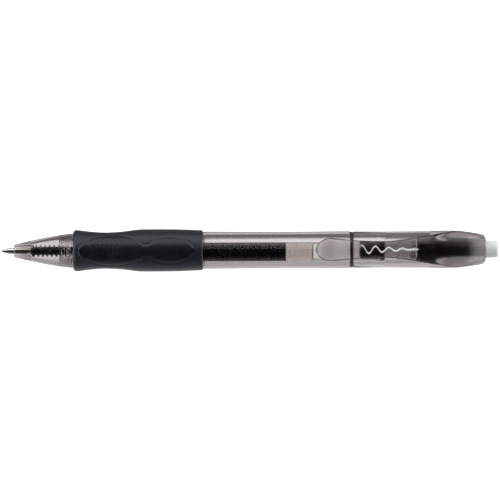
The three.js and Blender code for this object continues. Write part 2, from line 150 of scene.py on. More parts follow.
def revolve(name, profile, segments=FINE, shape=None, crease=35):
    """A solid turned about the pen's axis, from (x, r) points that close on themselves or end on the axis.

    shape gives the radius at (x, r, angle) where it isn't plain.
    """
    points = []
    for x, r in profile:
        for i in range(segments):
            angle = 2 * math.pi * i / segments
            radius = shape(x, r, angle) if shape and r > 0 else r
            points.append((x, radius * math.cos(angle), radius * math.sin(angle)))
    on_axis = profile[0][1] == 0
    faces = ring_faces(len(profile), segments, not on_axis)
    piece = make_object(name, points, faces, crease)
    if on_axis:
        face_outwards(piece.data, 1e-7)
        soften(piece, crease)
    return piece


def sweep(name, sections, crease=35):
    """A solid through closed sections, each a list of (x, y, z) points, with flat ends."""
    count = len(sections[0])
    points = [p for section in sections for p in section]
    faces = ring_faces(len(sections), count, False)
    faces.append(tuple(range(count)))
    last = (len(sections) - 1) * count
    faces.append(tuple(last + i for i in reversed(range(count))))
    return make_object(name, points, faces, crease)


def spline(through, per_span=8):
    """Points of a Catmull-Rom curve through the given (x, r) points."""
    ends = [through[0]] + list(through) + [through[-1]]
    out = []
    for k in range(len(through) - 1):
        p0, p1, p2, p3 = ends[k : k + 4]
        for i in range(per_span):
            t = i / per_span
            out.append(tuple(catmull(p0[n], p1[n], p2[n], p3[n], t) for n in (0, 1)))
    out.append(tuple(through[-1]))
    return out


def catmull(a, b, c, d, t):
    """A value between b and c of a Catmull-Rom curve."""
    return 0.5 * (2 * b + (c - a) * t + (2 * a - 5 * b + 4 * c - d) * t**2 + (3 * b - a - 3 * c + d) * t**3)


def value_at(curve, x):
    """Height of a curve of (x, value) points at x."""
    for (x0, v0), (x1, v1) in zip(curve, curve[1:]):
        if x <= x1:
            return v0 + (v1 - v0) * max(0.0, x - x0) / (x1 - x0)
    return curve[-1][1]


def arc(start, end, bulge, count=8):
    """A rounded corner from one (x, r) point to another, pulled towards a third."""
    out = []
    for i in range(count + 1):
        t = i / count
        near, middle, far = (1 - t) ** 2, 2 * t * (1 - t), t * t
        out.append(tuple(near * start[n] + middle * bulge[n] + far * end[n] for n in (0, 1)))
    return out


def smoothstep(low, high, value):
    t = min(max((value - low) / (high - low), 0.0), 1.0)
    return t * t * (3 - 2 * t)


def steps(low, high, count):
    return [low + (high - low) * i / count for i in range(count + 1)]


# ---- materials ----


def new_material(name):
    material = bpy.data.materials.new(name)
    material.use_nodes = True
    return material, material.node_tree.nodes["Principled BSDF"]


def add_noise(material, scale, detail=4.0, stretch=(1.0, 1.0, 1.0)):
    nodes, links = material.node_tree.nodes, material.node_tree.links
    coords = nodes.new("ShaderNodeTexCoord")
    mapping = nodes.new("ShaderNodeMapping")
    mapping.inputs["Scale"].default_value = stretch
    noise = nodes.new("ShaderNodeTexNoise")
    noise.inputs["Scale"].default_value = scale
    noise.inputs["Detail"].default_value = detail
    links.new(coords.outputs["Object"], mapping.inputs["Vector"])
    links.new(mapping.outputs["Vector"], noise.inputs["Vector"])
    return noise


def vary(material, shader, socket, noise, low, high):
    """Runs a shader's number between two values with a noise."""
    nodes, links = material.node_tree.nodes, material.node_tree.links
    spread = nodes.new("ShaderNodeMapRange")
    spread.inputs["From Min"].default_value = 0.3
    spread.inputs["From Max"].default_value = 0.7
    spread.inputs["To Min"].default_value = low
    spread.inputs["To Max"].default_value = high
    links.new(noise.outputs["Fac"], spread.inputs["Value"])
    links.new(spread.outputs["Result"], shader.inputs[socket])


def vary_colour(material, noise, low, high):
    """A colour that runs between two with a noise."""
    nodes, links = material.node_tree.nodes, material.node_tree.links
    ramp = nodes.new("ShaderNodeValToRGB")
    ramp.color_ramp.elements[0].position = 0.35
    ramp.color_ramp.elements[0].color = (*low, 1)
    ramp.color_ramp.elements[1].position = 0.65
    ramp.color_ramp.elements[1].color = (*high, 1)
    links.new(noise.outputs["Fac"], ramp.inputs["Fac"])
    return ramp.outputs["Color"]


def add_bump(material, shader, height, strength, distance):
    nodes, links = material.node_tree.nodes, material.node_tree.links
    bump = nodes.new("ShaderNodeBump")
    bump.inputs["Strength"].default_value = strength
    bump.inputs["Distance"].default_value = distance
    links.new(height, bump.inputs["Height"])
    links.new(bump.outputs["Normal"], shader.inputs["Normal"])


def clear_plastic(name, passed, density, rough_low, rough_high, ior):
    """Clear plastic that darkens with its thickness. passed is the colour that it lets through best."""
    material, shader = new_material(name)
    nodes, links = material.node_tree.nodes, material.node_tree.links
    shader.inputs["Base Color"].default_value = (1, 1, 1, 1)
    absorb = nodes.new("ShaderNodeVolumeAbsorption")
    absorb.inputs["Color"].default_value = (*passed, 1)
    absorb.inputs["Density"].default_value = density
    links.new(absorb.outputs["Volume"], nodes["Material Output"].inputs["Volume"])
    shader.inputs["Transmission Weight"].default_value = 1.0
    shader.inputs["IOR"].default_value = ior
    smears = add_noise(material, 180, 3, (0.3, 1, 1))
    vary(material, shader, "Roughness", smears, rough_low, rough_high)
    ripple = add_noise(material, 60, 1, (0.25, 1, 1))
    add_bump(material, shader, ripple.outputs["Fac"], 0.02, 0.0001)
    return material


def opaque(name, dark, light, rough, grain_scale, bump, metallic=0.0):
    """A material whose colour and roughness wander between two values, with a fine bump."""
    material, shader = new_material(name)
    noise = add_noise(material, grain_scale)
    colour = vary_colour(material, noise, dark, light)
    material.node_tree.links.new(colour, shader.inputs["Base Color"])
    vary(material, shader, "Roughness", noise, *rough)
    shader.inputs["Metallic"].default_value = metallic
    fine = add_noise(material, grain_scale * 3, 2)
    add_bump(material, shader, fine.outputs["Fac"], bump, 0.0001)
    return material


def black_ink():
    """Ink that wets its tube: hardly any light is reflected where the two touch."""
    material = opaque("black_ink", (0.003, 0.0035, 0.006), (0.006, 0.007, 0.01), (0.12, 0.2), 200, 0.03)
    material.node_tree.nodes["Principled BSDF"].inputs["Specular IOR Level"].default_value = 0.05
    return material


def grip_rubber():
    """Black rubber: fine grain everywhere but on the finger pads, which the grain attribute marks."""
    material, shader = new_material("grip_rubber")
    nodes, links = material.node_tree.nodes, material.node_tree.links
    cloudy = add_noise(material, 220)
    vary(material, shader, "Roughness", cloudy, 0.27, 0.34)
    shader.inputs["Specular IOR Level"].default_value = 0.55
    shader.inputs["Specular Tint"].default_value = (0.89, 0.94, 1.0, 1)
    pebble = add_noise(material, 2600, 3)
    grain = nodes.new("ShaderNodeAttribute")
    grain.attribute_name = "grain"
    shade = nodes.new("ShaderNodeMixRGB")
    links.new(grain.outputs["Fac"], shade.inputs["Fac"])
    smooth = vary_colour(material, cloudy, (0.003, 0.0036, 0.0045), (0.005, 0.006, 0.0075))
    links.new(smooth, shade.inputs["Color1"])
    shade.inputs["Color2"].default_value = (0.012, 0.0145, 0.0185, 1)
    links.new(shade.outputs["Color"], shader.inputs["Base Color"])
    height = nodes.new("ShaderNodeMath")
    height.operation = "MULTIPLY"
    links.new(pebble.outputs["Fac"], height.inputs[0])
    links.new(grain.outputs["Fac"], height.inputs[1])
    add_bump(material, shader, height.outputs["Value"], 0.6, 0.0002)
    return material


def ramp_along(material, start, end, low, high):
    """A number that runs between two values along the pen."""
    nodes, links = material.node_tree.nodes, material.node_tree.links
    coords = nodes.new("ShaderNodeTexCoord")
    split = nodes.new("ShaderNodeSeparateXYZ")
    along = nodes.new("ShaderNodeMapRange")
    along.interpolation_type = "SMOOTHSTEP"
    along.inputs["From Min"].default_value = start * MM
    along.inputs["From Max"].default_value = end * MM
    along.inputs["To Min"].default_value = low
    along.inputs["To Max"].default_value = high
    links.new(coords.outputs["Object"], split.inputs["Vector"])
    links.new(split.outputs["X"], along.inputs["Value"])
    return along.outputs["Result"]


def frost_rear(material):
    """The cap's thick rear end looks softer than its front."""
    nodes, links = material.node_tree.nodes, material.node_tree.links
    haze = ramp_along(material, SLEEVE_REAR, SLEEVE_REAR + 5, 0.03, 0.2)
    links.new(haze, nodes["Principled BSDF"].inputs["Roughness"])


def paint_rim_shade(material):
    """Painted shade: smoke plastic darkened along its rim, which the rim attribute marks, for the dark edge
    that light bending at the clear rim gives.
    """
    nodes, links = material.node_tree.nodes, material.node_tree.links
    rim = nodes.new("ShaderNodeAttribute")
    rim.attribute_name = "rim"
    tint = nodes.new("ShaderNodeMixRGB")
    tint.inputs["Color1"].default_value = (1, 1, 1, 1)
    # the painted shade colour for the clip's dark rim
    tint.inputs["Color2"].default_value = (0.06, 0.05, 0.055, 1)
    links.new(rim.outputs["Fac"], tint.inputs["Fac"])
    links.new(tint.outputs["Color"], nodes["Principled BSDF"].inputs["Base Color"])


def frosted_button():
    """Pale frosted plastic. The black spigot that fills its front end shows through and fades out."""
    material, shader = new_material("button_plastic")
    nodes, links = material.node_tree.nodes, material.node_tree.links
    noise = add_noise(material, 400)
    shade = vary_colour(material, noise, (0.82, 0.84, 0.845), (0.87, 0.89, 0.89))
    vary(material, shader, "Roughness", noise, 0.35, 0.45)
    fade = nodes.new("ShaderNodeMixRGB")
    links.new(ramp_along(material, BUTTON_FRONT, BUTTON_FRONT + 4.5, 0, 1), fade.inputs["Fac"])
    fade.inputs["Color1"].default_value = (0.02, 0.02, 0.022, 1)
    links.new(shade, fade.inputs["Color2"])
    links.new(fade.outputs["Color"], shader.inputs["Base Color"])
    add_bump(material, shader, add_noise(material, 1200, 2).outputs["Fac"], 0.12, 0.0001)
    return material


SMOKE_PASSED = (0.50, 0.44, 0.455)  # colour that the smoke-tinted plastic lets through best

smoke = clear_plastic("smoke_plastic", SMOKE_PASSED, 280, 0.02, 0.05, 1.5)
smoke_thin = clear_plastic("smoke_thin", SMOKE_PASSED, 560, 0.02, 0.05, 1.5)
smoke_cap = clear_plastic("smoke_cap", SMOKE_PASSED, 280, 0.02, 0.05, 1.5)
frost_rear(smoke_cap)
smoke_clip = clear_plastic("smoke_clip", SMOKE_PASSED, 560, 0.02, 0.05, 1.5)
paint_rim_shade(smoke_clip)
tube_clear = clear_plastic("tube_plastic", (0.6, 0.55, 0.5), 60, 0.05, 0.12, 1.48)
rubber = grip_rubber()
black = opaque("black_plastic", (0.012, 0.012, 0.013), (0.02, 0.02, 0.022), (0.3, 0.42), 500, 0.1)
tinted = clear_plastic("cam_plastic", (0.45, 0.40, 0.415), 250, 0.1, 0.2, 1.5)
pale = frosted_button()
ink = black_ink()
grease = clear_plastic("grease", (0.78, 0.72, 0.68), 420, 0.1, 0.2, 1.46)
dark_wire = opaque("spring_steel", (0.035, 0.036, 0.04), (0.06, 0.062, 0.068), (0.3, 0.42), 900, 0.1, 1.0)
steel = opaque("ball_metal", (0.2, 0.2, 0.21), (0.28, 0.28, 0.29), (0.2, 0.32), 900, 0.1, 1.0)
nickel = opaque("point_metal", (0.72, 0.70, 0.65), (0.82, 0.80, 0.75), (0.1, 0.16), 900, 0.08, 1.0)
white_print = opaque("white_print", (0.82, 0.82, 0.82), (0.88, 0.88, 0.88), (0.4, 0.5), 700, 0.05)


def finish_piece(piece, material, material_slot, *nodes):
    """Gives a piece its material and hides the CAD nodes that it stands for."""
    piece.data.materials.clear()
    piece.data.materials.append(material)
    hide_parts(*nodes)
    return piece


# ---- barrel, nose cone and grip ----


def thread_wave(x, angle):
    """From 0 in a thread's valley to 1 on its crest."""
    turn = (x - BARREL_FRONT) / THREAD_PITCH - angle / (2 * math.pi)
    off_crest = abs((turn % 1.0) - 0.5) * 2
    return 1 - smoothstep(0.25, 0.6, off_crest)


def make_barrel():
    shoulder = GRIP_REAR + 0.03
    waist = spline([(shoulder + 0.15, 5.44), (0, 5.37), (11.8, 5.32), (BARREL_REAR - 0.35, 5.42)])
    thread = steps(BARREL_FRONT + 0.25, GRIP_FRONT - 0.1, 60)
    profile = [
        (BARREL_FRONT, THREAD_CORE_R - 0.2),
        *[(x, THREAD_CORE_R) for x in thread],
        (GRIP_FRONT, THREAD_CORE_R),
        (GRIP_FRONT, GRIP_SEAT_R),
        (shoulder, GRIP_SEAT_R),
        *arc((shoulder, 5.29), (shoulder + 0.15, 5.44), (shoulder, 5.44), 4),
        *waist[1:],
        *arc((BARREL_REAR - 0.3, 5.42), (BARREL_REAR, 5.15), (BARREL_REAR, 5.42), 4),
        (BARREL_REAR, SPIGOT_R),
        (SPIGOT_REAR, SPIGOT_R),
        (SPIGOT_REAR, BORE_R),
        (BORE_TAPER[1], BORE_R),
        (BORE_TAPER[0], FRONT_BORE_R),
        (BARREL_FRONT, FRONT_BORE_R),
    ]

    def threaded(x, r, angle):
        if r != THREAD_CORE_R or not thread[0] <= x <= thread[-1]:
            return r
        fade = min(1.0, (x - thread[0]) / 0.3, (thread[-1] - x) / 0.3)
        return r + THREAD_DEPTH * fade * thread_wave(x, angle)

    piece = revolve("barrel_tube", profile, shape=threaded)
    finish_piece(piece, smoke, "smoke_plastic", "barrel")
    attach(piece, "shell")


def make_nose():
    minor = THREAD_CORE_R + 0.1
    seat = HOLDER_FRONT
    thread = steps(NOSE_REAR + 0.03, BARREL_FRONT - 0.2, 60)
    profile = [
        (NOSE_FRONT, 1.3),
        *arc((NOSE_FRONT, 1.45), (-67.5, 2.12), (NOSE_FRONT, 2.05)),
        *arc((-67.4, 2.14), (NOSE_REAR, NOSE_R), (-58.5, 4.45), 40),
        (NOSE_REAR + 0.07, NOSE_R),
        *[(x, minor) for x in thread],
        *spline([(BARREL_FRONT - 0.3, 3.45), (-59.5, 2.85), (seat, 2.0)]),
        (seat, 1.35),
        (NOSE_FRONT + 0.5, 1.3),
    ]

    def threaded(x, r, angle):
        if r != minor:
            return r
        return r + (THREAD_DEPTH + 0.05) * thread_wave(x, angle)

    piece = revolve("nose_shell", profile, shape=threaded)
    finish_piece(piece, smoke_thin, "smoke_plastic", "nose_cone")
    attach(piece, "nose")


PADS = ((-39.9, 9.9, 4.46), (-23.1, 7.2, 3.88))  # middle, half-length and half-height of each finger pad
PAD_WAIST = 1.9
PAD_GROOVES = [-45.5 + 1.37 * i for i in range(6)]
PAD_GROOVE_HALF = 1.6  # half-length of the grooves, across the pen
PAD_RISE = 0.13
GROOVE_DEPTH = 0.09


def pad_edge(x, y):
    """How far inside the figure-eight finger pads a point is, seen from the clip side; negative outside."""
    height = 0.0
    for middle, half_length, half_height in PADS:
        inside = 1 - ((x - middle) / half_length) ** 2
        if inside > 0:
            height = max(height, half_height * math.sqrt(inside))
    if PADS[0][0] < x < PADS[1][0]:
        height = max(height, PAD_WAIST)
    return height - abs(y) if height else -abs(y) - 1


def grip_relief(x, r, angle):
    """The grip's radius with the pads raised inside a fine groove, and the grooves across them."""
    y = r * math.cos(angle)
    edge = pad_edge(x, y)
    raised = PAD_RISE * smoothstep(0.0, 1.1, edge) - PAD_RISE * math.exp(-((edge / 0.26) ** 2)) - 0.02
    fade = 1 - smoothstep(PAD_GROOVE_HALF - 0.4, PAD_GROOVE_HALF + 0.2, abs(y))
    groove = sum(math.exp(-(((x - g) / 0.27) ** 2)) for g in PAD_GROOVES)
    return r + raised - GROOVE_DEPTH * groove * fade


def make_grip():
    outline = spline(
        [
            (-50.1, 6.06),
            (-46.5, 5.6),
            (-42.2, 5.32),
            (-37.5, 5.52),
            (-32.6, 6.12),
            (-29, HUMP_R - PAD_RISE),
            (-21, 6.15),
            (GRIP_REAR - 0.6, 5.88),
        ],
        34,
    )
    bore = GRIP_SEAT_R + PLAY
    outer = [
        *arc((GRIP_FRONT, 5.2), (-50.15, 6.06), (GRIP_FRONT, 6.04), 12),
        *outline[1:],
        *arc((GRIP_REAR - 0.5, 5.87), (GRIP_REAR, 5.5), (GRIP_REAR, 5.86), 5),
    ]
    profile = [(GRIP_FRONT, bore), *outer, (GRIP_REAR, bore)]
    low, high = GRIP_FRONT + 0.4, GRIP_REAR - 1.4

    def relief(x, r, angle):
        if r <= bore:
            return r
        plain = grip_relief(x, r, angle)
        ease = min(smoothstep(low - 0.4, low + 0.8, x), 1 - smoothstep(high, high + 0.8, x))
        return r + (plain - r) * ease

    piece = revolve("grip_sleeve", profile, 240, relief, 60)
    grain = piece.data.attributes.new("grain", "FLOAT", "POINT")
    values = []
    for vertex in piece.data.vertices:
        x, y = vertex.co.x / MM, vertex.co.y / MM
        values.append(1 - 0.85 * smoothstep(-0.1, 0.5, pad_edge(x, y)))
    grain.data.foreach_set("value", values)
    finish_piece(piece, rubber, "grip_rubber", "rubber_grip")
    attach(piece, "shell")


# ---- cap and clip ----

TONGUE = CLIP_TIP + 4.5  # where the rounded tip ends
TIP_HALF = 3.38  # half-width of the clip at the tongue
TIP_MEAN_R = 3.9  # between the tip's length and its half-width
FLARE = spline(
    [
        (TONGUE, TIP_HALF),
        (28.5, 2.9),
        (34, 2.5),
        (41, 2.5),
        (48, 3.4),
        (57.5, 5.05),
        (61, 5.22),
        (65, 4.5),
        (CAP_REAR, 3.3),
    ]
)
CLIP_TOP = spline(
    [(CLIP_TIP - 0.1, 7.3), (TONGUE, 7.9), (40, 8.28), (52, 8.22), (58, 7.75), (63, 6.7), (CAP_REAR, 4.6)]
)
CLIP_FLOOR = 6.65
BUMP_MIDDLE, BUMP_HALF = 23.2, 3.2


def clip_half_width(x):
    if x < TONGUE:
        far = (TONGUE - x) / (TONGUE - CLIP_TIP)
        return TIP_HALF * math.sqrt(max(0.0, 1 - far * far))
    return value_at(FLARE, x)


def clip_under(x):
    near = abs(x - BUMP_MIDDLE) / BUMP_HALF
    return CLIP_FLOOR - 0.42 * (1 + math.cos(math.pi * near)) if near < 1 else CLIP_FLOOR


def clip_section(x, low, around=48):
    half, top = max(clip_half_width(x), 0.05), value_at(CLIP_TOP, x)
    edge = low + (top - low) * 0.5
    section = []
    for i in range(around):
        angle = 2 * math.pi * (i + 0.5) / around
        lift = math.sin(angle)
        z = edge + (top - edge) * lift**0.8 if lift > 0 else edge - (edge - low) * (-lift) ** 0.35
        section.append((x, half * math.cos(angle), z))
    return section


def clip_top_at(x, y):
    """Height of the clip's crowned top."""
    low, top = clip_under(x), value_at(CLIP_TOP, x)
    edge = low + (top - low) * 0.5
    across = min(abs(y) / clip_half_width(x), 1.0)
    return edge + (top - edge) * math.sqrt(1 - across * across) ** 0.8


SEAM = CLIP_ROOT + 0.15


def make_clip():
    tip = [CLIP_TIP + d for d in (0.01, 0.06, 0.16, 0.32, 0.55, 0.85, 1.25, 1.8, 2.5, 3.4)]
    stations = tip + steps(TONGUE, SEAM - 0.02, 90)
    piece = sweep("clip_blade", [clip_section(x, clip_under(x)) for x in stations])
    # the rim attribute masks the painted shade along the clip's edge
    rim = piece.data.attributes.new("rim", "FLOAT", "POINT")
    rim.data.foreach_set("value", [rim_shade_mask(v.co.x / MM, v.co.y / MM) for v in piece.data.vertices])
    finish_piece(piece, smoke_clip, "smoke_plastic", "pocket_clip")
    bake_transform(piece)


def rim_shade_mask(x, y):
    """Mask of the painted rim shade: 1 on the clip's outline, down to 0 a little way inside it."""
    if x < TONGUE:
        far = (TONGUE - x) / (TONGUE - CLIP_TIP)
        inside = (1 - math.hypot(far, y / TIP_HALF)) * TIP_MEAN_R
    else:
        inside = clip_half_width(x) - abs(y)
    return 1 - smoothstep(0.14, 0.42, inside)


def make_cap():
    widest = CAP_R - 0.01
    swell = [(39.8, 5.3), (54, widest), (58.4, widest), (60.7, 5.4), (63.1, 5.15), (66.6, 4.62)]
    outside = revolve(
        "cap_outside",
        [
            (CAP_FRONT, 0),
            (CAP_FRONT, 5.05),
            *arc((CAP_FRONT, 5.05), (CAP_FRONT + 0.25, 5.3), (CAP_FRONT + 0.05, 5.25), 4)[1:],
            *spline(swell),
            *arc((67.0, 4.54), (CAP_REAR, 3.5), (CAP_REAR, 4.3)),
            (CAP_REAR, 0),
        ],
    )
    root = sweep("cap_root", [clip_section(x, 2.0) for x in steps(SEAM, CAP_REAR, 60)])
    hollow = revolve(
        "cap_hollow",
        [
            (CAP_FRONT - 1, 0),
            (CAP_FRONT - 1, SPIGOT_R + PLAY),
            (SPIGOT_REAR + 0.04, SPIGOT_R + PLAY),
            (SPIGOT_REAR + 0.04, SLEEVE_R + PLAY),
            (SLEEVE_REAR + 0.05, SLEEVE_R + PLAY),
            (SLEEVE_REAR + 0.05, SLEEVE_BORE_R),
            (BUTTON_STEP, SLEEVE_BORE_R),
            (BUTTON_STEP, BUTTON_R + 0.12),
            (CAP_REAR + 1, BUTTON_R + 0.12),
            (CAP_REAR + 1, 0),
        ],
    )
    combine(outside, root, "UNION")
    combine(outside, hollow, "DIFFERENCE")
    outside.name = "cap_shell"
    soften(outside, 30)
    finish_piece(outside, smoke_cap, "smoke_plastic", "rear_cap")
    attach(outside, "shell")


def combine(piece, tool, operation):
    """Joins or cuts piece with tool, and takes the tool away."""
    modifier = piece.modifiers.new("combine", "BOOLEAN")
    modifier.operation = operation
    modifier.object = tool
    modifier.solver = "EXACT"
    graph = bpy.context.evaluated_depsgraph_get()
    result = bpy.data.meshes.new_from_object(piece.evaluated_get(graph))
    piece.modifiers.clear()
    old = piece.data
    piece.data = result
    bpy.data.meshes.remove(old)
    bpy.data.objects.remove(tool)


# ---- click mechanism ----

LOBES = 4
LOBE_ANGLE = math.radians(14)
LATCH_SLOPE = 8.1  # length per radian of the slanted faces
CROWN = 48.6  # where the rotor's and the plunger's teeth meet
LATCH_RIBS = 46.6  # where the sleeve's ribs begin


def lobe(name, r0, r1, middle, width, front, rear, divisions=8):
    """A block between two radii and two angles, with faces that may slant with the angle."""
    sections = []
    for offset in steps(-width / 2, width / 2, divisions):
        angle = middle + offset
        loop = [(front(offset), r0), (rear(offset), r0), (rear(offset), r1), (front(offset), r1)]
        sections.append([(x, r * math.cos(angle), r * math.sin(angle)) for x, r in loop])
    return sweep(name, sections)


def join(name, pieces):
    """One object from several, which keep their own closed meshes."""
    work = bmesh.new()
    for piece in pieces:
        work.from_mesh(piece.data)
        bpy.data.objects.remove(piece)
    mesh = bpy.data.meshes.new(name)
    work.to_mesh(mesh)
    work.free()
    joined = bpy.data.objects.new(name, mesh)
    bpy.context.collection.objects.link(joined)
    soften(joined, 35)
    return joined


def lobes(count, make):
    """Copies spread evenly round the axis."""
    return [make(2 * math.pi * i / count) for i in range(count)]


def make_ring():
    bevel = 0.15
    piece = revolve(
        "joint_band",
        [
            (RING_FRONT, SPIGOT_R + PLAY),
            *arc((RING_FRONT, RING_R - bevel), (RING_FRONT + bevel, RING_R), (RING_FRONT, RING_R), 4),
            *arc((RING_REAR - bevel, RING_R), (RING_REAR, RING_R - bevel), (RING_REAR, RING_R), 4),
            (RING_REAR, SPIGOT_R + PLAY),
        ],
    )
    finish_piece(piece, black, "black_plastic", "joint_ring")
    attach(piece, "shell")


def make_sleeve():
    near = SPIGOT_REAR + 0.04
    tube = revolve(
        "sleeve_tube",
        [
            (near, SLEEVE_BORE_R),
            (near, SLEEVE_R),
            (SLEEVE_REAR, SLEEVE_R),
            (SLEEVE_REAR, SLEEVE_BORE_R),
        ],
    )

    def front(offset):
        return LATCH_RIBS + (offset + LOBE_ANGLE / 2) * LATCH_SLOPE

    ribs = lobes(
        LOBES,
        lambda middle: lobe(
            "rib", BUTTON_R + 0.12, SLEEVE_BORE_R + 0.1, middle, LOBE_ANGLE, front, lambda o: SLEEVE_REAR
        ),
    )
    piece = join("cam_sleeve_ribbed", [tube, *ribs])
    finish_piece(piece, smoke, "smoke_plastic", "cam_sleeve")
    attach(piece, "shell")


def crown_teeth(side):
    """A ring of saw teeth: side is 1 for the plunger's and -1 for the rotor's."""
    count = 8
    step = 2 * math.pi / count
    tip = CROWN + side * 0.15
    base = tip + side * 0.9

    def face(offset):
        return tip + side * 0.64 * (0.5 - offset / step)

    def back(offset):
        return base

    ends = (face, back) if side > 0 else (back, face)
    return lobes(count, lambda middle: lobe("tooth", 1.2, 2.2, middle, step, *ends))


def make_rotor():
    core = revolve(
        "rotor_core",
        [
            (ROTOR_FRONT, 0),
            (ROTOR_FRONT, 1.8),
            (ROTOR_FRONT + 0.45, 2.2),
            (CROWN - 0.95, 2.2),
            (CROWN - 0.95, 0),
        ],
        64,
    )

    def rear(offset):
        return LATCH_RIBS - 0.2 + (offset + LOBE_ANGLE / 2) * LATCH_SLOPE

    fins = lobes(
        LOBES, lambda middle: lobe("fin", 2.0, 3.2, middle, LOBE_ANGLE, lambda o: LATCH_RIBS - 3.5, rear)
    )
    piece = join("cam_rotor_finned", [core, *crown_teeth(-1), *fins])
    finish_piece(piece, tinted, "cam_plastic", "cam_rotor")
    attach(piece, "rotor")


def make_plunger():
    stem = CROWN + 0.95
    guide = BUTTON_STEP - 6.2
    seat = BUTTON_FRONT - 0.05
    core = revolve(
        "plunger_core",
        [
            (stem, 0),
            (stem, 2.2),
            (guide - 0.4, 2.2),
            *arc((guide - 0.4, 2.2), (guide, BUTTON_R), (guide, 2.2), 4)[1:],
            (seat, BUTTON_R),
            (seat, PLUNGER_SPIGOT_R),
            (PLUNGER_REAR, PLUNGER_SPIGOT_R),
            (PLUNGER_REAR, 0),
        ],
        96,
    )

    def guide_rib(middle):
        turned = middle + math.pi / LOBES
        return lobe("guide", 1.8, 3.2, turned, LOBE_ANGLE * 2.4, lambda o: stem + 0.1, lambda o: guide)

    piece = join("plunger_stem", [core, *crown_teeth(1), *lobes(LOBES, guide_rib)])
    finish_piece(piece, black, "black_plastic", "plunger")
    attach(piece, "button")


def make_button():
    socket = PLUNGER_REAR + 0.05
    edge = 0.9
    piece = revolve(
        "button_end",
        [
            (socket, 0),
            (socket, PLUNGER_SPIGOT_R + PLAY),
            (BUTTON_FRONT, PLUNGER_SPIGOT_R + PLAY),
            (BUTTON_FRONT, BUTTON_R),
            (BUTTON_REAR - 4, BUTTON_R),
            *arc((BUTTON_REAR - edge, 2.5), (BUTTON_REAR, 1.75), (BUTTON_REAR, 2.45), 14),
            (BUTTON_REAR, 0),
        ],
        96,
    )
    finish_piece(piece, pale, "button_plastic", "push_button")
    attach(piece, "button")


# ---- refill ----


def make_spring():
    wire = 0.175
    coil_r = SPRING_R - wire
    closed, open_turns, per_turn = 1.6, 10, 48
    closed_pitch = 2 * wire + 0.07
    start, end = SPRING_FRONT + wire, SPRING_REAR - wire
    open_pitch = (end - start - 2 * closed * closed_pitch) / open_turns
    turns = open_turns + 2 * closed
    sections = []
    for i in range(int(turns * per_turn) + 1):
        t = i / per_turn
        tight = min(t, closed) + max(0.0, t - closed - open_turns)
        loose = min(max(t - closed, 0.0), open_turns)
        x = start + tight * closed_pitch + loose * open_pitch
        angle = 2 * math.pi * t
        ring = []
        for k in range(10):
            a = 2 * math.pi * k / 10
            r = coil_r + wire * math.sin(a)
            ring.append((x + wire * math.cos(a), r * math.cos(angle), r * math.sin(angle)))
        sections.append(ring)
    piece = sweep("spring_coil", sections, 60)
    finish_piece(piece, dark_wire, "spring_steel", "return_spring")
    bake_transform(piece)


REFILL_SAG = 0.55  # the refill's tube rests off the barrel's axis, towards -Y
SAG_START, SAG_END = -38, -18  # where it bends away, under the grip
WET_R = TUBE_BORE_R + 0.03  # the liquids wet the tube, so no air shows between
MENISCUS = 0.5  # depth of the hollow at the liquids' rear ends
PLUG_R = TUBE_BORE_R - 0.02
VALVE_X = -58.6
WRITING_BALL_R = 0.35
WRITING_BALL_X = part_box("writing_ball")[0][0] / MM + WRITING_BALL_R


def refill_piece(name, profile, material, slot, node, segments=64):
    """A turned piece that moves with the refill and follows the tube's bend."""
    piece = revolve(name, profile, segments)
    for vertex in piece.data.vertices:
        vertex.co.y -= REFILL_SAG * MM * smoothstep(SAG_START, SAG_END, vertex.co.x / MM)
    finish_piece(piece, material, slot, node)
    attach(piece, "refill")


def make_tube():
    along = [TUBE_FRONT, *steps(SAG_START, SAG_END, 12), TUBE_REAR]
    refill_piece(
        "refill_tube",
        [
            *[(x, TUBE_R) for x in along],
            *[(x, TUBE_BORE_R) for x in reversed(along)],
        ],
        tube_clear,
        "clear_tube",
        "ink_tube",
        96,
    )


def hollow_end(x, first, last):
    """The hollow surface of a liquid whose rim is at x, from one (x, r) point to another."""
    return arc(first, last, (x - MENISCUS, WET_R * 0.7), 12)


def make_ink():
    refill_piece(
        "ink_column",
        [
            (INK_FRONT, 0),
            *[(x, WET_R) for x in (INK_FRONT, *steps(SAG_START, SAG_END, 12))],
            *hollow_end(INK_REAR, (INK_REAR, WET_R), (INK_REAR - MENISCUS, 0)),
        ],
        ink,
        "black_ink",
        "gel_ink",
    )


def make_grease():
    start = INK_REAR + 0.02
    refill_piece(
        "grease_column",
        [
            *hollow_end(start, (start - MENISCUS, 0), (start, WET_R)),
            *hollow_end(GREASE_REAR, (GREASE_REAR, WET_R), (GREASE_REAR - MENISCUS, 0)),
        ],
        grease,
        "grease",
        "grease_follower",
    )


def make_plug():
    lip = TUBE_REAR + PLAY
    refill_piece(
        "tail_stopper",
        [
            (PLUG_FRONT, 0.6),
            (PLUG_FRONT, PLUG_R - 0.2),
            (PLUG_FRONT + 0.6, PLUG_R),
            (lip, PLUG_R),
            (lip, TUBE_R),
            (PLUG_REAR - 0.3, TUBE_R),
            (PLUG_REAR, TUBE_R - 0.3),
            (PLUG_REAR, 0.6),
        ],
        black,
        "black_plastic",
        "tail_plug",
    )


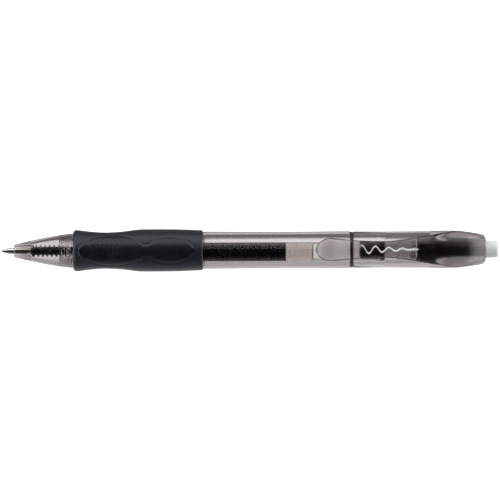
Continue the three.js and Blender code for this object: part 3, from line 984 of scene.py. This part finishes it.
def make_holder():
    shoulder = SPRING_REAR + 0.1
    lip = TUBE_FRONT - PLAY
    channel_r = 0.4
    socket = -61.1  # floor of the socket that holds the metal tip
    refill_piece(
        "holder_body",
        [
            (HOLDER_FRONT, 0.85),
            (HOLDER_FRONT, HOLDER_R - 0.15),
            (HOLDER_FRONT + 0.3, HOLDER_R),
            (shoulder, HOLDER_R),
            (shoulder, 2.5),
            (shoulder + 0.4, TUBE_R),
            (lip, TUBE_R),
            (lip, PLUG_R),
            (HOLDER_REAR - 0.5, PLUG_R),
            (HOLDER_REAR, PLUG_R - 0.25),
            (HOLDER_REAR, 1.3),
            (-46, 0.5),
            (VALVE_X + 1.6, 0.5),
            (VALVE_X + 1.3, 0.75),
            (VALVE_X - 0.8, 0.75),
            (VALVE_X - 1.2, channel_r),
            (socket, channel_r),
            (socket, 0.85),
        ],
        black,
        "black_plastic",
        "point_holder",
    )


def make_point():
    socket_r = WRITING_BALL_R + 0.03
    shank_front, collar_rear = -70.0, -64.6
    shank_r, channel_r = 0.8, 0.2
    refill_piece(
        "point_tip",
        [
            (POINT_FRONT, WRITING_BALL_R - 0.01),
            *arc((POINT_FRONT, 0.4), (POINT_FRONT + 0.5, 0.5), (POINT_FRONT + 0.1, 0.47), 4),
            (shank_front, POINT_R - 0.02),
            (shank_front + 0.15, POINT_R),
            (collar_rear, POINT_R),
            (collar_rear, shank_r),
            (POINT_REAR, shank_r),
            (POINT_REAR, 0.4),
            (-71, channel_r),
            (WRITING_BALL_X + WRITING_BALL_R + 0.12, channel_r),
            (WRITING_BALL_X + WRITING_BALL_R - 0.02, socket_r),
            (POINT_FRONT + 0.08, socket_r),
        ],
        nickel,
        "point_metal",
        "point_cone",
    )


def make_refill():
    make_tube()
    make_ink()
    make_grease()
    make_plug()
    make_holder()
    make_point()
    make_ball("point_ball", WRITING_BALL_X, WRITING_BALL_R, "writing_ball", "ball")
    make_ball("check_ball", VALVE_X, 0.55, "valve_ball", "refill")


def make_ball(name, x, r, node, body):
    """A ball with its middle on the pen's axis."""
    profile = [(x - r * math.cos(a), r * math.sin(a)) for a in steps(0, math.pi, 20)]
    profile[0], profile[-1] = (x - r, 0), (x + r, 0)
    piece = revolve(name, profile, 40)
    finish_piece(piece, steel, "ball_metal", node)
    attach(piece, body)


# ---- generic print on the clip ----


def make_print():
    """A white ink stroke that swings and dies out, printed on the clip."""
    start, end = CAP_FRONT + 1.5, SEAM - 4.5
    half = 0.24
    base, thick = 0.003, 0.015  # so thin that it stays below the top of the solid clip
    sections = []
    for x in steps(start, end, 160):
        far = (x - start) / (end - start)
        swing = 1.35 * (1 - far) ** 1.2
        y = swing * math.sin(far * 9 * math.pi)
        width = half * min(1.0, 12 * far, 12 * (1 - far)) + 0.01
        z = clip_top_at(x, y)
        corners = ((-width, base), (width, base), (width, thick), (-width, thick))
        sections.append([(x, y + across, z + lift) for across, lift in corners])
    piece = sweep("clip_print", sections)
    piece.data.materials.append(white_print)
    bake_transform(piece)


# ---- stage, light and camera ----


def unless_camera(tree, others, camera):
    """A shader that camera rays see as one thing and all other rays as another."""
    path = tree.nodes.new("ShaderNodeLightPath")
    mix = tree.nodes.new("ShaderNodeMixShader")
    tree.links.new(path.outputs["Is Camera Ray"], mix.inputs["Fac"])
    tree.links.new(others, mix.inputs[1])
    tree.links.new(camera, mix.inputs[2])
    return mix.outputs["Shader"]


def plain_white(tree):
    """White floor with a faint shadow."""
    diffuse = tree.nodes.new("ShaderNodeBsdfDiffuse")
    diffuse.inputs["Color"].default_value = (0.9, 0.9, 0.9, 1)
    glow = tree.nodes.new("ShaderNodeEmission")
    glow.inputs["Strength"].default_value = 0.9
    both = tree.nodes.new("ShaderNodeAddShader")
    tree.links.new(diffuse.outputs["BSDF"], both.inputs[0])
    tree.links.new(glow.outputs["Emission"], both.inputs[1])
    return both.outputs["Shader"]


FIELD = 0.03  # half-width of the strip of floor whose brightness the ramp sets
FIELD_STOPS = [(-30, 0.45), (-12, 0.72), (-6, 0.72), (-4.2, 1.15), (5.6, 1.2), (8.2, 0.24), (30, 0.2)]


def bright_field(tree):
    """Light that is bright under the pen and greyer to the sides, as on a studio light table."""
    coords = tree.nodes.new("ShaderNodeTexCoord")
    split = tree.nodes.new("ShaderNodeSeparateXYZ")
    across = tree.nodes.new("ShaderNodeMapRange")
    across.inputs["From Min"].default_value = -FIELD
    across.inputs["From Max"].default_value = FIELD
    ramp = tree.nodes.new("ShaderNodeValToRGB")
    stops = ramp.color_ramp.elements
    while len(stops) < len(FIELD_STOPS):
        stops.new(0.5)
    for stop, (y, level) in zip(stops, FIELD_STOPS):
        stop.position = (y * MM + FIELD) / (2 * FIELD)
        stop.color = (level, level, level, 1)
    field = tree.nodes.new("ShaderNodeEmission")
    tree.links.new(coords.outputs["Object"], split.inputs["Vector"])
    tree.links.new(split.outputs["Y"], across.inputs["Value"])
    tree.links.new(across.outputs["Result"], ramp.inputs["Fac"])
    tree.links.new(ramp.outputs["Color"], field.inputs["Color"])
    return field.outputs["Emission"]


def make_stage():
    """A floor that the camera sees as plain white, and the pen's clear plastic as a bright field."""
    bpy.ops.mesh.primitive_plane_add(size=3, location=(0, 0, 0))
    floor = bpy.context.object
    floor.name = "floor"
    material = bpy.data.materials.new("floor_white")
    material.use_nodes = True
    tree = material.node_tree
    tree.nodes.remove(tree.nodes["Principled BSDF"])
    surface = unless_camera(tree, bright_field(tree), plain_white(tree))
    tree.links.new(surface, tree.nodes["Material Output"].inputs["Surface"])
    floor.data.materials.append(material)


LIGHT_BOUNCES = 32  # a line of sight crosses more than a dozen faces of clear plastic


def make_light(name, location, size_x, size_y, radiance):
    """A softbox turned towards the pen."""
    data = bpy.data.lights.new(name, "AREA")
    data.shape = "RECTANGLE"
    data.size, data.size_y = size_x, size_y
    data.energy = radiance * math.pi * size_x * size_y
    lamp = bpy.data.objects.new(name, data)
    lamp.location = location
    bpy.context.collection.objects.link(lamp)
    aim = Vector((0, 0, AXIS_Z)) - Vector(location)
    lamp.rotation_euler = aim.to_track_quat("-Z", "Y").to_euler()


def make_lights():
    make_light("upper_side", (0.0, 0.48, 0.27), 1.6, 0.6, 1.3)
    make_light("lower_side", (0.0, -0.53, 0.13), 1.6, 0.24, 0.34)
    make_light("button_end", (0.55, 0.0, 0.22), 1.1, 0.44, 2.3)
    make_light("point_end", (-0.55, 0.0, 0.22), 1.1, 0.44, 2.3)


def make_world():
    """A dim room round the pen, which the camera sees as white."""
    world = bpy.data.worlds.new("room")
    world.use_nodes = True
    tree = world.node_tree
    room = tree.nodes["Background"]
    room.inputs["Color"].default_value = (0.03, 0.03, 0.032, 1)
    backdrop = tree.nodes.new("ShaderNodeBackground")
    backdrop.inputs["Color"].default_value = (1, 1, 1, 1)
    surface = unless_camera(tree, room.outputs["Background"], backdrop.outputs["Background"])
    tree.links.new(surface, tree.nodes["World Output"].inputs["Surface"])
    scene = bpy.context.scene
    scene.world = world
    scene.view_settings.view_transform = "Standard"
    scene.cycles.max_bounces = LIGHT_BOUNCES
    scene.cycles.transmission_bounces = LIGHT_BOUNCES


PEN_SHARE = 0.9946  # of the picture's width that the pen takes up
CAMERA_ROLL = -0.23  # degrees
CAMERA_SIDESTEP = 0.0001


def make_camera():
    lens, sensor = 300, 36
    length = BUTTON_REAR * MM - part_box("writing_ball")[0][0]
    distance = length / PEN_SHARE * lens / sensor
    data = bpy.data.cameras.new("camera")
    data.lens, data.sensor_width = lens, sensor
    data.clip_start, data.clip_end = 0.01, 20
    camera = bpy.data.objects.new("camera", data)
    camera.location = (CAMERA_SIDESTEP, 0.0, AXIS_Z + distance)
    camera.rotation_euler = (0, 0, math.radians(CAMERA_ROLL))
    bpy.context.collection.objects.link(camera)
    bpy.context.scene.camera = camera


make_barrel()
make_nose()
make_grip()
make_cap()
make_clip()
make_ring()
make_sleeve()
make_rotor()
make_plunger()
make_button()
make_spring()
make_refill()
make_print()
make_stage()
make_lights()
make_world()
make_camera()
